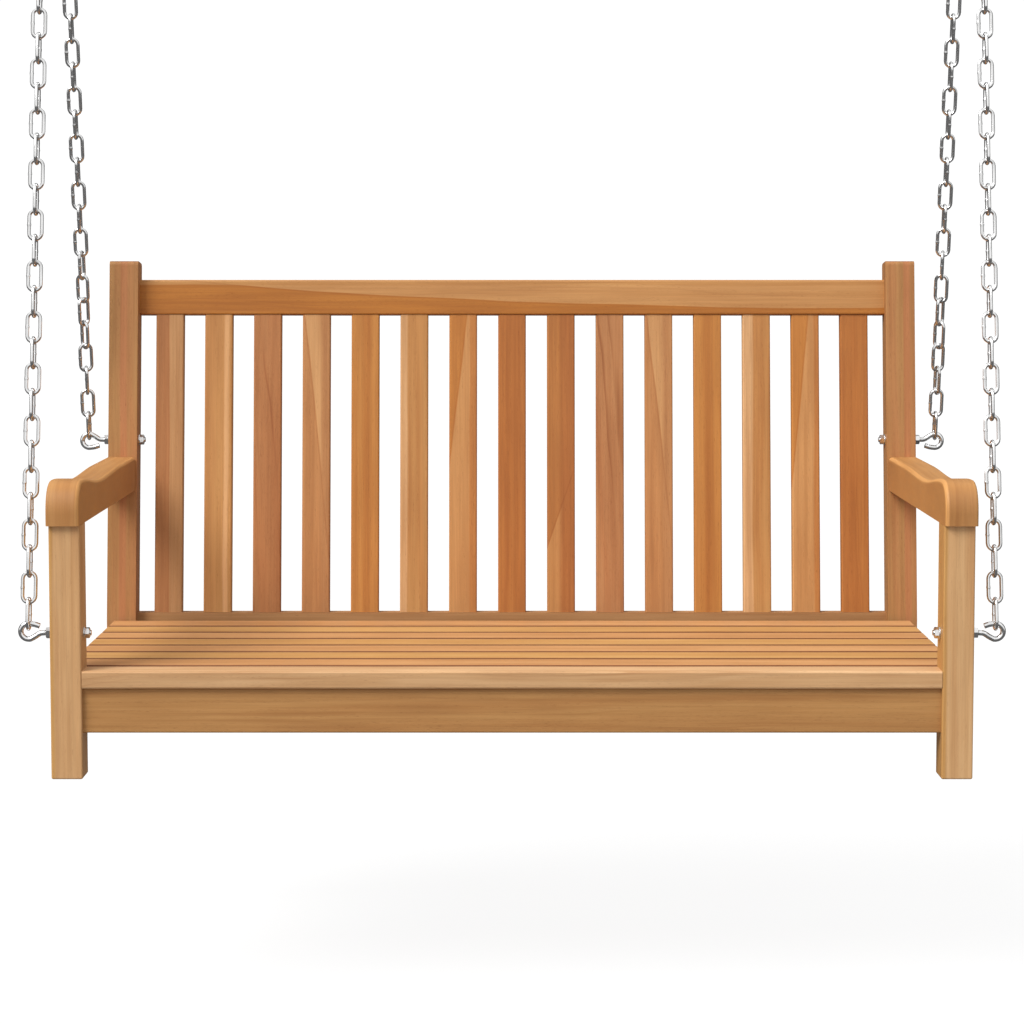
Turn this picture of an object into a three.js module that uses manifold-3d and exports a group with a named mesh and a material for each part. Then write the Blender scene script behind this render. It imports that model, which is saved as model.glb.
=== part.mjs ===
// Porch swing: a slatted teak bench with arms, hung by four link chains from two ceiling brackets.
//
// Millimetres and degrees. X runs along the bench, Y from its front to its back, and Z up.
// The pieces are drawn in the bench's own frame: x = 0 in the middle, y = 0 at the front faces of the
// front legs, z = 0 under the legs. The exported group then moves them, so that the origin is on the
// ceiling, midway between the brackets and straight above the line that the bench hangs from.
import * as THREE from 'three';
import { mergeVertices } from 'three/addons/utils/BufferGeometryUtils.js';
import Module from 'manifold-3d';

const wasm = await Module();
wasm.setup();

// ---------------------------------------------------------------- driving dimensions

const BENCH_WIDTH = 1200; // over the outer faces of the legs
const FIT = 0.3; // clearance in every joint of the frame

const LEG = { width: 41, depth: 46, height: 332 };
const POST = { width: 43, depth: 40, height: 672, front: 487.5, topRound: 7 };
const RAKE = THREE.MathUtils.degToRad(7.25); // lean of the back above the seat

const SEAT_TOP = 142;
const SEAT_SLAT = { thickness: 23, width: 53, pitch: 62, frontWidth: 45, overhang: 29 };
const LONG_SLATS = 7; // seat slats behind the front one

const RAIL = { thickness: 25, bottom: 60 }; // seat frame
const APRON_SETBACK = 7;
const REAR_RAIL = { thickness: 22, top: 150, front: 505.5 };
const CENTRE_SUPPORT_WIDTH = 40;

const TOP_RAIL = { bottom: 456, height: 52, thickness: 22, setback: 18 }; // along the raked back
const BACK_SLAT = { count: 15, width: 41.5, thickness: 18, pitch: 73.1 };

const ARM = { inner: 559.5, outer: 602.5, nose: -7, underside: 332, rear: 381 };

const TENON = { thickness: 12, length: 18, shoulder: 8 };
const SLAT_TENON = { thickness: 8, length: 14, shoulder: 4 };

const ROD = 7.2; // eye bolt stock
// offset: eye centre to the outer face of the wood; rise: eye centre off the shank, on the gap's side
const EYE = { radius: 10.2, offset: 31, rise: 1.8, bend: 15 };
const FRONT_BOLT = { y: 23, z: 189.5 };
const REAR_BOLT_HEIGHT = 408.05;
const REAR_BOLT_DEPTH = 19.61; // behind the post's front face
const NUT = { flats: 13, height: 6.4, washer: 16, washerThickness: 1.6 };
const BOLT_END = 10; // rod past the inner face of the wood

const LINK = { wire: 5, pitch: 34.5, innerWidth: 12 }; // pitch: inner length
const LINK_BITE = 0.5; // how far neighbouring links press into each other
const FRONT_LINKS = 44;
const REAR_LINKS = 36;
const TWISTED_LINKS = 9; // lowest links of a rear chain, over which it takes a quarter twist
const QUICK_LINK = { wire: 6, pitch: 50, innerWidth: 14, sleeveFlats: 10, sleeve: 18 };
const RING = { radius: 29, wire: 8 };
const HANGING_GAP = 0.8; // slack drawn where a link, ring or hook carries another

const BRACKET_SPREAD = 8.5; // each ceiling bracket's distance outward of its eye bolts
const HOOK = { wire: 8, halfWidth: 9.5, drop: 50 };
const PLATE = { length: 90, width: 50, thickness: 5, screwHole: 5.5, screwSpacing: 64 };

// ---------------------------------------------------------------- worked out from them

const HALF = BENCH_WIDTH / 2;
const LEG_INNER = HALF - LEG.width;
const POST_INNER = HALF - POST.width;
const SLAT_UNDERSIDE = SEAT_TOP - SEAT_SLAT.thickness;
const LONG_SLAT_HALF = LEG_INNER + SEAT_SLAT.overhang;
const SIDE_RAIL_INNER = LONG_SLAT_HALF - RAIL.thickness;
const APRON_BACK = APRON_SETBACK + RAIL.thickness;
const EYE_X = HALF + EYE.offset;

// A point on the raked back: `along` up its front face from the seat, `behind` that face.
function onBack(along, behind) {
  return {
    y: POST.front + along * Math.sin(RAKE) + behind * Math.cos(RAKE),
    z: SEAT_TOP + along * Math.cos(RAKE) - behind * Math.sin(RAKE),
  };
}

const POST_REACH = (POST.height - SEAT_TOP) / Math.cos(RAKE);
const REAR_BOLT_ALONG = (REAR_BOLT_HEIGHT - SEAT_TOP) / Math.cos(RAKE);
const REAR_BOLT = onBack(REAR_BOLT_ALONG, REAR_BOLT_DEPTH);

// From the middle of the eye's rod to the middle of the last link's top bend, along the chain.
const chainTop = (links) => links * LINK.pitch + (LINK.wire - ROD) / 2 - HANGING_GAP;
const RING_SEAT = (LINK.wire + RING.wire) / 2 + HANGING_GAP;

// Centre of the ring in which a side's two chains meet, fixed by their lengths above the two eyes.
const FRONT_REACH = chainTop(FRONT_LINKS) - RING_SEAT + RING.radius;
const REAR_REACH = chainTop(REAR_LINKS) + QUICK_LINK.pitch - HANGING_GAP - RING_SEAT + RING.radius;
const FRONT_HOLD = { y: FRONT_BOLT.y, z: FRONT_BOLT.z + EYE.rise + EYE.radius };
const REAR_HOLD = { y: REAR_BOLT.y, z: REAR_BOLT.z - EYE.rise + EYE.radius };
const inPlane = (reach) => Math.sqrt(reach ** 2 - BRACKET_SPREAD ** 2);
const APEX = {
  x: EYE_X + BRACKET_SPREAD,
  ...meeting(FRONT_HOLD, inPlane(FRONT_REACH), REAR_HOLD, inPlane(REAR_REACH)),
};

const SWING_AXIS_Z = APEX.z + RING.radius - (RING.wire + HOOK.wire) / 2 - HANGING_GAP;
const CEILING = SWING_AXIS_Z + HOOK.drop;

// The upper crossing of two circles in the YZ plane.
function meeting(a, reachA, b, reachB) {
  const apart = Math.hypot(b.y - a.y, b.z - a.z);
  const along = (reachA ** 2 - reachB ** 2 + apart ** 2) / (2 * apart);
  const up = Math.sqrt(reachA ** 2 - along ** 2);
  const dy = (b.y - a.y) / apart;
  const dz = (b.z - a.z) / apart;
  return { y: a.y + along * dy - up * dz, z: a.z + along * dz + up * dy };
}

// ---------------------------------------------------------------- geometry helpers

function toSolid(geometry) {
  const bare = geometry.clone();
  bare.deleteAttribute('normal');
  bare.deleteAttribute('uv');
  const merged = mergeVertices(bare, 1e-4);
  return new wasm.Manifold(new wasm.Mesh({
    numProp: 3,
    vertProperties: new Float32Array(merged.attributes.position.array),
    triVerts: new Uint32Array(merged.index.array),
  }));
}

function toGeometry(solid) {
  const mesh = solid.getMesh();
  const geometry = new THREE.BufferGeometry();
  geometry.setAttribute('position', new THREE.BufferAttribute(mesh.vertProperties, mesh.numProp));
  geometry.setIndex(new THREE.BufferAttribute(mesh.triVerts, 1));
  geometry.computeVertexNormals();
  return geometry;
}

function joined(...geometries) {
  return toGeometry(geometries.map(toSolid).reduce((whole, next) => whole.add(next)));
}

function cut(geometry, ...cutters) {
  return toGeometry(cutters.map(toSolid).reduce((rest, next) => rest.subtract(next), toSolid(geometry)));
}

function block(x0, x1, y0, y1, z0, z1) {
  const geometry = new THREE.BoxGeometry(x1 - x0, y1 - y0, z1 - z0);
  return geometry.translate((x0 + x1) / 2, (y0 + y1) / 2, (z0 + z1) / 2);
}

// A mortise is its tenon's block, grown by the fit on every side.
function grown(x0, x1, y0, y1, z0, z1) {
  return block(x0 - FIT, x1 + FIT, y0 - FIT, y1 + FIT, z0 - FIT, z1 + FIT);
}

// A block given along and behind the raked back.
function onRake(geometry) {
  return geometry.rotateX(-RAKE).translate(0, POST.front, SEAT_TOP);
}

// An outline in Y and Z, extruded along X.
function sideBoard(shape, x0, x1) {
  const geometry = new THREE.ExtrudeGeometry(shape, { depth: x1 - x0, bevelEnabled: false, curveSegments: 6 });
  const toYZ = new THREE.Matrix4().makeBasis(
    new THREE.Vector3(0, 1, 0), new THREE.Vector3(0, 0, 1), new THREE.Vector3(1, 0, 0));
  return geometry.applyMatrix4(toYZ).translate(x0, 0, 0);
}

function rodAlongX(x0, x1, y, z, radius, sides = 12) {
  const geometry = new THREE.CylinderGeometry(radius, radius, x1 - x0, sides);
  return geometry.rotateZ(Math.PI / 2).translate((x0 + x1) / 2, y, z);
}

// A right-hand piece, or its mirror image on the left.
function onSide(side, geometry) {
  if (side > 0) return geometry;
  const solid = toSolid(geometry).mirror([1, 0, 0]);
  return toGeometry(solid);
}

// ---------------------------------------------------------------- materials

const teak = (color) => new THREE.MeshStandardMaterial({ color, roughness: 0.55, metalness: 0 });
const TEAK = {
  light: teak('#cf9c62'),
  honey: teak('#c58a4c'),
  tan: teak('#b98555'),
  russet: teak('#b0703f'),
  brown: teak('#a2693c'),
};
const ZINC = new THREE.MeshStandardMaterial({ color: '#b9bbbd', roughness: 0.35, metalness: 1 });

// ---------------------------------------------------------------- front legs, posts and arms

const TENON_TOP = SLAT_UNDERSIDE - TENON.shoulder;
const TENON_BOTTOM = RAIL.bottom + TENON.shoulder;
const APRON_TENON = [APRON_SETBACK + 5, APRON_SETBACK + 5 + TENON.thickness, TENON_BOTTOM, TENON_TOP];
const SIDE_TENON_X = [SIDE_RAIL_INNER + 6, SIDE_RAIL_INNER + 6 + TENON.thickness];
const SIDE_TENON_LENGTH = 14; // shorter, so that it stops behind the apron's tenon
const ARM_TENON = [LEG_INNER + 13, HALF - 13, 13, LEG.depth - 13, LEG.height, LEG.height + 20];

function frontLeg() {
  const stick = block(LEG_INNER, HALF, 0, LEG.depth, 0, LEG.height);
  return cut(
    joined(stick, block(...ARM_TENON.with(4, LEG.height - 1))),
    grown(LEG_INNER - 1, LEG_INNER + TENON.length, ...APRON_TENON),
    grown(...SIDE_TENON_X, LEG.depth - SIDE_TENON_LENGTH, LEG.depth + 1, TENON_BOTTOM, TENON_TOP),
    rodAlongX(LEG_INNER - 1, HALF + 1, FRONT_BOLT.y, FRONT_BOLT.z, ROD / 2 + 2 * FIT),
  );
}

function topRailTenon() {
  const behind = TOP_RAIL.setback + (TOP_RAIL.thickness - TENON.thickness) / 2;
  return [POST_INNER - 1, POST_INNER + TENON.length, behind, behind + TENON.thickness,
    TOP_RAIL.bottom + TENON.shoulder, TOP_RAIL.bottom + TOP_RAIL.height - TENON.shoulder];
}

function rearRailTenon() {
  const front = REAR_RAIL.front + (REAR_RAIL.thickness - TENON.thickness) / 2;
  return [POST_INNER - 1, POST_INNER + TENON.length, front, front + TENON.thickness,
    TENON_BOTTOM, REAR_RAIL.top - TENON.shoulder];
}

function backPost() {
  const bend = onBack(POST.depth * Math.tan(RAKE / 2), POST.depth);
  const round = POST.topRound;
  const corner = (along, behind) => Object.values(onBack(along, behind));
  const shape = new THREE.Shape();
  shape.moveTo(POST.front, 0);
  shape.lineTo(POST.front + POST.depth, 0);
  shape.lineTo(bend.y, bend.z);
  shape.lineTo(...corner(POST_REACH - round, POST.depth));
  shape.quadraticCurveTo(...corner(POST_REACH, POST.depth), ...corner(POST_REACH, POST.depth - round));
  shape.lineTo(...corner(POST_REACH, round));
  shape.quadraticCurveTo(...corner(POST_REACH, 0), ...corner(POST_REACH - round, 0));
  shape.lineTo(POST.front, SEAT_TOP);
  return cut(
    sideBoard(shape, POST_INNER, HALF),
    onRake(grown(...topRailTenon())),
    grown(...rearRailTenon()),
    grown(...SIDE_TENON_X, POST.front - 1, POST.front + SIDE_TENON_LENGTH, TENON_BOTTOM, TENON_TOP),
    rodAlongX(POST_INNER - 1, HALF + 1, REAR_BOLT.y, REAR_BOLT.z, ROD / 2 + 2 * FIT),
  );
}

function armrest() {
  const rearLow = onBack((ARM.underside - SEAT_TOP) / Math.cos(RAKE), -FIT);
  const rearHigh = onBack((ARM.rear - SEAT_TOP) / Math.cos(RAKE), -FIT);
  const shape = new THREE.Shape();
  shape.moveTo(ARM.nose, ARM.underside);
  shape.lineTo(rearLow.y, ARM.underside);
  shape.lineTo(rearHigh.y, ARM.rear);
  shape.lineTo(370, ARM.rear);
  shape.bezierCurveTo(300, ARM.rear, 250, 376, 190, 377);
  shape.bezierCurveTo(130, 378, 90, 389, 34, 389);
  shape.bezierCurveTo(8, 389, ARM.nose, 372, ARM.nose, 347);
  return cut(sideBoard(shape, ARM.inner, ARM.outer), grown(...ARM_TENON));
}

// ---------------------------------------------------------------- seat frame and slats

function apron() {
  const [front, back, bottom, top] = APRON_TENON;
  return joined(
    block(-LEG_INNER, LEG_INNER, APRON_SETBACK, APRON_BACK, RAIL.bottom, SLAT_UNDERSIDE),
    block(-LEG_INNER - TENON.length, LEG_INNER + TENON.length, front, back, bottom, top),
  );
}

function rearRail() {
  const [, tip, front, back, bottom, top] = rearRailTenon();
  const { thickness, front: face } = REAR_RAIL;
  return cut(
    joined(
      block(-POST_INNER, POST_INNER, face, face + thickness, RAIL.bottom, REAR_RAIL.top),
      block(-tip, tip, front, back, bottom, top),
    ),
    ...slatCentres().map((x) => onRake(grown(...slatTenonBlock(x, SLAT_FOOT - SLAT_TENON.length, SLAT_FOOT + 5)))),
  );
}

function sideRail() {
  const back = POST.front;
  return joined(
    block(SIDE_RAIL_INNER, LONG_SLAT_HALF, LEG.depth, back, RAIL.bottom, SLAT_UNDERSIDE),
    block(...SIDE_TENON_X, LEG.depth - SIDE_TENON_LENGTH, back + SIDE_TENON_LENGTH, TENON_BOTTOM, TENON_TOP),
  );
}

function centreSupport() {
  const half = CENTRE_SUPPORT_WIDTH / 2;
  return block(-half, half, APRON_BACK, REAR_RAIL.front, RAIL.bottom, SLAT_UNDERSIDE);
}

function frontSlat() {
  return block(-LEG_INNER, LEG_INNER, 0, SEAT_SLAT.frontWidth, SLAT_UNDERSIDE, SEAT_TOP);
}

function longSlat(index) {
  const front = LEG.depth + 7 + index * SEAT_SLAT.pitch;
  return block(-LONG_SLAT_HALF, LONG_SLAT_HALF, front, front + SEAT_SLAT.width, SLAT_UNDERSIDE, SEAT_TOP);
}

// ---------------------------------------------------------------- back

const SLAT_BEHIND = TOP_RAIL.setback + (TOP_RAIL.thickness - BACK_SLAT.thickness) / 2;
const SLAT_FOOT = REAR_RAIL.top - SEAT_TOP + 4.5; // where the raked slats meet the rear rail's top

function slatCentres() {
  const middle = (BACK_SLAT.count - 1) / 2;
  return Array.from({ length: BACK_SLAT.count }, (_, i) => (i - middle) * BACK_SLAT.pitch);
}

function slatTenonBlock(x, low, high) {
  const half = BACK_SLAT.width / 2 - SLAT_TENON.shoulder;
  const behind = SLAT_BEHIND + (BACK_SLAT.thickness - SLAT_TENON.thickness) / 2;
  return [x - half, x + half, behind, behind + SLAT_TENON.thickness, low, high];
}

function topRail() {
  const { bottom, height, thickness, setback } = TOP_RAIL;
  const [, tip, front, back, low, high] = topRailTenon();
  return cut(
    joined(
      block(-POST_INNER, POST_INNER, setback, setback + thickness, bottom, bottom + height),
      block(-tip, tip, front, back, low, high),
    ),
    ...slatCentres().map((x) => grown(...slatTenonBlock(x, bottom - 1, bottom + SLAT_TENON.length))),
  );
}

// The slat leans, and its foot is cut level to stand on the rear rail.
function backSlat(x) {
  const half = BACK_SLAT.width / 2;
  const high = TOP_RAIL.bottom - FIT;
  const { thickness, width } = BACK_SLAT;
  const stick = onRake(block(x - half, x + half, SLAT_BEHIND, SLAT_BEHIND + thickness, 0, high));
  const railTop = REAR_RAIL.top + FIT;
  const below = block(x - width, x + width, POST.front, POST.front + 2 * POST.depth, railTop - width, railTop);
  const tenons = onRake(block(...slatTenonBlock(x, SLAT_FOOT - SLAT_TENON.length, high + SLAT_TENON.length)));
  return joined(cut(stick, below), tenons);
}

// ---------------------------------------------------------------- eye bolts and nuts

// The rod is bent into an open eye in the XZ plane. `turn` is 1 with the gap above the shank, as on the
// front bolts, and -1 with the gap below it.
function eyeBolt(hold, woodInner, turn) {
  const section = new THREE.Shape().absarc(0, 0, ROD / 2, 0, 2 * Math.PI);
  const at = (x, z) => new THREE.Vector3(x, 0, turn * z);
  const round = [];
  for (let angle = -105; angle <= 90; angle += 15) {
    const a = THREE.MathUtils.degToRad(angle);
    round.push(at(EYE.radius * Math.cos(a), EYE.rise + EYE.radius * Math.sin(a)));
  }
  const tip = [at(-7.5, EYE.rise + 9.3), at(-14.5, EYE.rise + 7.1)];
  const bent = new THREE.CatmullRomCurve3([
    at(-EYE.bend - 6, 0),
    at(-EYE.bend, -0.8),
    at(-EYE.bend + 6.5, -4.9),
    ...round,
    ...tip,
  ]);
  const eye = new THREE.ExtrudeGeometry(section, { steps: 22, curveSegments: 4, extrudePath: bent });
  eye.translate(EYE_X, hold.y, hold.z);
  return joined(eye, rodAlongX(woodInner - BOLT_END, EYE_X - EYE.bend - 5, hold.y, hold.z, ROD / 2, 10));
}

// A hexagon nut on its washer, which lies against the wood at `face`; `out` is the way the nut points.
function nutOnWasher(hold, face, out) {
  const washerEnd = face + out * NUT.washerThickness;
  const nutEnd = washerEnd + out * NUT.height;
  const span = (a, b) => [Math.min(a, b), Math.max(a, b)];
  const hexagon = NUT.flats / Math.sqrt(3);
  const washer = rodAlongX(...span(face, washerEnd), hold.y, hold.z, NUT.washer / 2, 16);
  const nut = rodAlongX(...span(washerEnd - out * FIT, nutEnd), hold.y, hold.z, hexagon, 6);
  const bore = rodAlongX(...span(face - out, nutEnd + out), hold.y, hold.z, ROD / 2 + FIT, 12);
  return cut(joined(washer, nut), bore);
}

// ---------------------------------------------------------------- chains, rings and ceiling brackets

// A long link, standing in the XZ plane: a ring whose two halves are moved apart. `corners` is 6, 10,
// 14..., so that the bends have a corner at their tops and the straight sides none at mid-height.
function longLink({ wire, pitch, innerWidth }, sides, corners) {
  const radius = (innerWidth + wire) / 2 / Math.cos(Math.PI / corners);
  const geometry = new THREE.TorusGeometry(radius, wire / 2, sides, corners);
  geometry.rotateZ(Math.PI / 2).rotateX(Math.PI / 2);
  const apart = (pitch + wire) / 2 - radius;
  const position = geometry.attributes.position;
  for (let i = 0; i < position.count; i += 1) {
    const z = position.getZ(i);
    position.setZ(i, z + Math.sign(z) * apart);
  }
  return geometry;
}

// A chain along +Z from the middle of the eye's rod, each link turned a quarter from the last, with
// `twist` more over the lowest links. The links are drawn a little short, so that neighbours press
// into each other and the chain is one solid. The two end links are rounder, so that they turn freely
// on the eye and the ring.
function chain(links, twist) {
  const first = (LINK.pitch - ROD) / 2 - HANGING_GAP;
  const shortened = 1 - LINK_BITE / LINK.pitch;
  const pieces = [];
  for (let i = 0; i < links; i += 1) {
    const turn = (i + 1) * Math.PI / 2 + twist * THREE.MathUtils.smoothstep(i, 0, TWISTED_LINKS);
    const corners = i === 0 || i === links - 1 ? 10 : 6;
    const piece = longLink(LINK, 4, corners).scale(1, 1, shortened).rotateZ(turn);
    pieces.push(piece.translate(0, 0, first + i * LINK.pitch));
  }
  return joined(...pieces);
}

// The threaded connector between a rear chain and its ring, placed along the chain as the links are.
function quickLink() {
  const { wire, pitch, innerWidth, sleeveFlats, sleeve } = QUICK_LINK;
  const oval = longLink(QUICK_LINK, 8, 14);
  const nut = new THREE.CylinderGeometry(sleeveFlats / Math.sqrt(3), sleeveFlats / Math.sqrt(3), sleeve, 6);
  nut.rotateX(Math.PI / 2).translate((innerWidth + wire) / 2, 0, 0);
  const bottomBend = chainTop(REAR_LINKS) - (LINK.wire + wire) / 2 - HANGING_GAP;
  return joined(oval, nut).translate(0, 0, bottomBend + (pitch + wire) / 2);
}

function ring() {
  return toGeometry(toSolid(new THREE.TorusGeometry(RING.radius, RING.wire / 2, 8, 24).rotateY(Math.PI / 2)));
}

// A staple of round rod under a screwed plate; the ring hangs in it.
function bracket() {
  const { wire, halfWidth, drop } = HOOK;
  const up = drop - PLATE.thickness / 2;
  const arc = [];
  for (let angle = 180; angle <= 360; angle += 30) {
    const a = THREE.MathUtils.degToRad(angle);
    arc.push(new THREE.Vector3(halfWidth * Math.cos(a), 0, halfWidth * (1 + Math.sin(a))));
  }
  const path = new THREE.CatmullRomCurve3([
    new THREE.Vector3(-halfWidth, 0, up), new THREE.Vector3(-halfWidth, 0, halfWidth + 4),
    ...arc,
    new THREE.Vector3(halfWidth, 0, halfWidth + 4), new THREE.Vector3(halfWidth, 0, up),
  ], false, 'centripetal');
  const section = new THREE.Shape().absarc(0, 0, wire / 2, 0, 2 * Math.PI);
  const staple = new THREE.ExtrudeGeometry(section, { steps: 28, curveSegments: 4, extrudePath: path });
  const { length, width, thickness, screwHole, screwSpacing } = PLATE;
  const plate = block(-length / 2, length / 2, -width / 2, width / 2, drop - thickness, drop);
  const holes = [-1, 1].map((end) => {
    const hole = new THREE.CylinderGeometry(screwHole / 2, screwHole / 2, thickness + 2, 12);
    return hole.rotateX(Math.PI / 2).translate(end * screwSpacing / 2, 0, drop - thickness / 2);
  });
  return cut(joined(plate, staple), ...holes);
}

// ---------------------------------------------------------------- assembly

const swing = new THREE.Group();

function add(name, geometry, material) {
  const mesh = new THREE.Mesh(geometry, material);
  mesh.name = name;
  swing.add(mesh);
  return mesh;
}

for (const [name, side] of [['left', -1], ['right', 1]]) {
  add(`front_leg_${name}`, onSide(side, frontLeg()), TEAK.tan);
  add(`back_post_${name}`, onSide(side, backPost()), TEAK.russet);
  add(`armrest_${name}`, onSide(side, armrest()), TEAK.honey);
  add(`side_rail_${name}`, onSide(side, sideRail()), TEAK.tan);
}
add('apron', apron(), TEAK.honey);
add('rear_rail', rearRail(), TEAK.brown);
add('centre_support', centreSupport(), TEAK.tan);
add('top_rail', onRake(topRail()), TEAK.russet);

const BACK_TINTS = ['tan', 'tan', 'brown', 'light', 'brown', 'light', 'tan', 'russet',
  'light', 'tan', 'light', 'russet', 'tan', 'honey', 'russet'];
slatCentres().forEach((x, i) => {
  add(`back_slat_${i + 1}`, backSlat(x), TEAK[BACK_TINTS[i]]);
});

add('seat_slat_1', frontSlat(), TEAK.honey);
for (let i = 0; i < LONG_SLATS; i += 1) {
  add(`seat_slat_${i + 2}`, longSlat(i), i % 2 ? TEAK.light : TEAK.honey);
}

// A piece of a hanger, drawn along +Z from an eye's rod, is leaned over towards the ring.
function hang(mesh, side, hold) {
  const rise = new THREE.Vector3(side * BRACKET_SPREAD, APEX.y - hold.y, APEX.z - hold.z);
  mesh.position.set(side * EYE_X, hold.y, hold.z);
  mesh.quaternion.setFromUnitVectors(new THREE.Vector3(0, 0, 1), rise.normalize());
}

for (const [name, side] of [['left', -1], ['right', 1]]) {
  for (const [end, eye, inner, turn] of [['front', FRONT_BOLT, LEG_INNER, 1], ['rear', REAR_BOLT, POST_INNER, -1]]) {
    add(`eye_bolt_${end}_${name}`, onSide(side, eyeBolt(eye, inner, turn)), ZINC);
    add(`outer_nut_${end}_${name}`, onSide(side, nutOnWasher(eye, HALF, 1)), ZINC);
    add(`inner_nut_${end}_${name}`, onSide(side, nutOnWasher(eye, inner, -1)), ZINC);
  }
  hang(add(`chain_front_${name}`, chain(FRONT_LINKS, 0), ZINC), side, FRONT_HOLD);
  hang(add(`chain_rear_${name}`, chain(REAR_LINKS, Math.PI / 2), ZINC), side, REAR_HOLD);
  hang(add(`quick_link_${name}`, quickLink(), ZINC), side, REAR_HOLD);
  add(`ring_${name}`, ring(), ZINC).position.set(side * APEX.x, APEX.y, APEX.z);
  add(`ceiling_bracket_${name}`, bracket(), ZINC).position.set(side * APEX.x, APEX.y, SWING_AXIS_Z);
}

swing.position.set(0, -APEX.y, -CEILING);

export default swing;
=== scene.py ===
"""Looks of the porch swing: rounded teak boards, round steel links and fittings, light and camera.

Lengths are metres unless a name or comment says mm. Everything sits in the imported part's own frame:
X along the bench, Y from front to back, Z up, origin on the ceiling.
"""
import math

import bmesh
import bpy
from mathutils import Matrix, Vector
from mathutils.bvhtree import BVHTree


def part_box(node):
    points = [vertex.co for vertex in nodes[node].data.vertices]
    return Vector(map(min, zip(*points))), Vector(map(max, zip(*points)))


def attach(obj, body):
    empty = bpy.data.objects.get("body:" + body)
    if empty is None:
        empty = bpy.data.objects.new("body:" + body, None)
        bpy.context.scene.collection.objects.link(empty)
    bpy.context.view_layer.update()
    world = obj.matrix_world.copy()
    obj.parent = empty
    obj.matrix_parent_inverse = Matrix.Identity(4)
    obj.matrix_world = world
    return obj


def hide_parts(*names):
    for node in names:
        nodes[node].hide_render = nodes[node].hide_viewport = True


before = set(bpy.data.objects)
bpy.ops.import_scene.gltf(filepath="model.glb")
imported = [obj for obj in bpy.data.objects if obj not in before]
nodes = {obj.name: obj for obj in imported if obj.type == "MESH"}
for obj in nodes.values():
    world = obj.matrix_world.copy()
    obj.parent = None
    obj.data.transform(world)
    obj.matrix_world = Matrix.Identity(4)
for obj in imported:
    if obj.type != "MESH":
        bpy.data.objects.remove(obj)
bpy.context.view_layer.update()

MM = 0.001
RAKE = math.radians(7.25)  # lean of the back
SIDES = (("left", -1), ("right", 1))
scene = bpy.context.scene


# ------------------------------------------------------------------ node trees


class Tree:
    """Short calls for building a shader node tree."""

    def __init__(self, tree):
        self.tree = tree

    def add(self, kind, inputs=None, **settings):
        node = self.tree.nodes.new(kind)
        for key, value in settings.items():
            setattr(node, key, value)
        for key, value in (inputs or {}).items():
            self.put(node.inputs[key], value)
        return node

    def put(self, socket, value):
        if isinstance(value, bpy.types.NodeSocket):
            self.tree.links.new(value, socket)
        else:
            socket.default_value = value

    def math(self, operation, *values, clamp=False):
        node = self.add("ShaderNodeMath", operation=operation, use_clamp=clamp)
        for socket, value in zip(node.inputs, values):
            self.put(socket, value)
        return node.outputs[0]

    def vector(self, operation, *values):
        node = self.add("ShaderNodeVectorMath", operation=operation)
        for socket, value in zip(node.inputs, values):
            self.put(socket, value)
        return node.outputs[1] if operation in ("LENGTH", "DOT_PRODUCT") else node.outputs[0]

    def split(self, vector):
        return self.add("ShaderNodeSeparateXYZ", {0: vector}).outputs[:]

    def join(self, x, y, z):
        return self.add("ShaderNodeCombineXYZ", {0: x, 1: y, 2: z}).outputs[0]

    def noise(self, vector, w=0.0, detail=2.0, roughness=0.5):
        node = self.add(
            "ShaderNodeTexNoise",
            {"Vector": vector, "W": w, "Scale": 1.0, "Detail": detail, "Roughness": roughness},
            noise_dimensions="4D",
        )
        return node.outputs[0]

    def step(self, value, low, high, to_low=0.0, to_high=1.0):
        node = self.add(
            "ShaderNodeMapRange",
            {"Value": value, "From Min": low, "From Max": high, "To Min": to_low, "To Max": to_high},
            interpolation_type="SMOOTHSTEP",
        )
        return node.outputs[0]

    def span(self, value, low, high, to_low=0.0, to_high=1.0):
        node = self.add(
            "ShaderNodeMapRange",
            {"Value": value, "From Min": low, "From Max": high, "To Min": to_low, "To Max": to_high},
        )
        return node.outputs[0]

    def mix(self, factor, a, b, blend="MIX"):
        node = self.add("ShaderNodeMix", data_type="RGBA", blend_type=blend)
        for index, value in ((0, factor), (6, a), (7, b)):
            self.put(node.inputs[index], value)
        return node.outputs[2]


VEIL = 0.014  # white that a satin surface mirrors on top of its own colour
WOOD_TINT = (0.925, 0.962, 0.93)


def linear(rgb):
    """The linear colour of wood that looks like an sRGB colour, 0 to 255, under the studio light."""
    out = []
    for value, part in zip(rgb, WOOD_TINT):
        v = value / 255
        v = v / 12.92 if v <= 0.04045 else ((v + 0.055) / 1.055) ** 2.4
        out.append(part * max(v - VEIL, 0.0))
    return (*out, 1.0)


# ------------------------------------------------------------------ teak

# The group reads a place in mm, X along the grain and the board's middle at 0, so each board can be
# sawn from its own spot in the log.


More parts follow.
